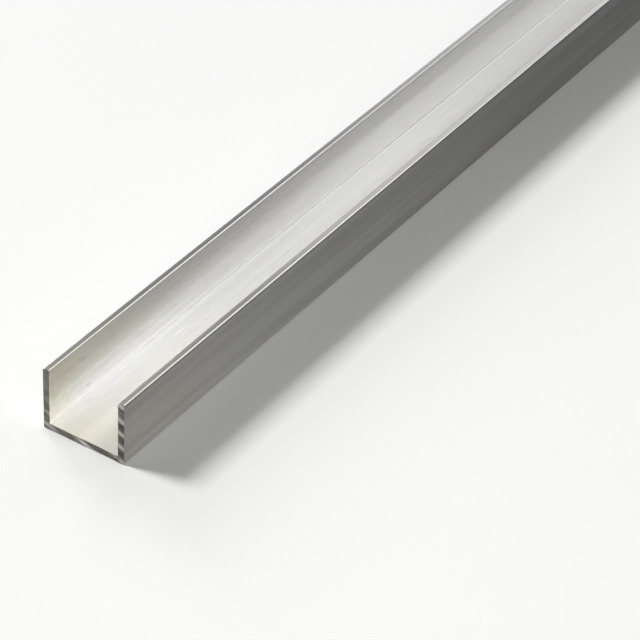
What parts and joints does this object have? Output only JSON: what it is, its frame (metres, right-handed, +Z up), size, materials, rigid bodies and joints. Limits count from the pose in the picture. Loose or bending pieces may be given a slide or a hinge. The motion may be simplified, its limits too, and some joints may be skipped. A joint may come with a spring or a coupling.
{
  "type": "aluminium channel section",
  "caption": "Straight extruded aluminium U channel: flat web with an upright flange along each side, slightly rounded edges and square sawn ends. Bare mill finish.",
  "frame": {"origin": "middle of the web's underside, halfway along the length", "axes": "+X along the length, +Y across the width, +Z up from the web towards the open side between the flanges"},
  "size_m": [1, 0.02, 0.015],
  "materials": {
    "mill_aluminium": "satin mill finish with fine die lines along the length, bare saw cut on the ends"
  },
  "bodies": {
    "root": {"channel_section": "mill_aluminium"}
  },
  "joints": []
}
